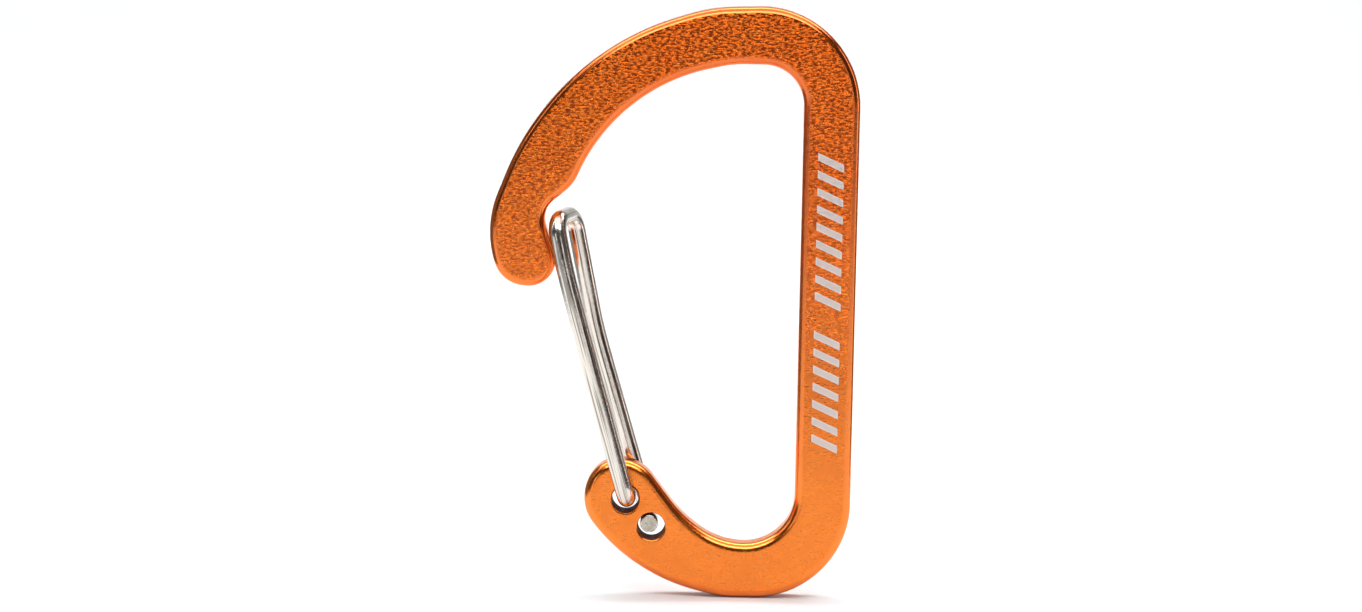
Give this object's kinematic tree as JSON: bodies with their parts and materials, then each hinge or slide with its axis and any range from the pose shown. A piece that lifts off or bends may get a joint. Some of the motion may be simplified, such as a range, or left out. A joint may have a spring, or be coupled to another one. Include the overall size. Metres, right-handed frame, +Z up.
{
  "type": "wire-gate carabiner",
  "caption": "Flat D-shaped accessory carabiner with a hooked nose and a sprung bent-wire gate that opens inwards.",
  "frame": {"origin": "inside of the top bow where a sling bears, halfway through the body's thickness", "axes": "+X from the gate to the spine, +Y from the marked front face to the back face, +Z up along the spine"},
  "size_m": [0.0493, 0.0102, 0.0801],
  "materials": {
    "anodised_body": "satin orange anodising over a fine hammered grain",
    "gate_wire": "drawn stainless wire, polished"
  },
  "bodies": {
    "body": {"carabiner_body": "anodised_body"},
    "gate_front": {"gate_wire_front_leg": "gate_wire"},
    "gate_rear": {"gate_wire_rear_leg": "gate_wire"}
  },
  "joints": [
    {"name": "gate_hinge", "type": "hinge", "parent": "body", "child": "gate_front", "pos_m": [-0.01545, 0, -0.05895], "axis": [0, 1, 0], "range_deg": [0, 20], "stiffness_Nm_per_rad": 0.2, "springref_deg": -20.05},
    {"name": "gate_twist", "type": "hinge", "parent": "gate_front", "child": "gate_rear", "pos_m": [-0.02457, 0, -0.02115], "axis": [0, 1, 0], "range_deg": [-2.5, 0]}
  ],
  "couplings": [
    {"joint": "gate_twist", "follows": "gate_hinge", "ratio": -0.111}
  ]
}
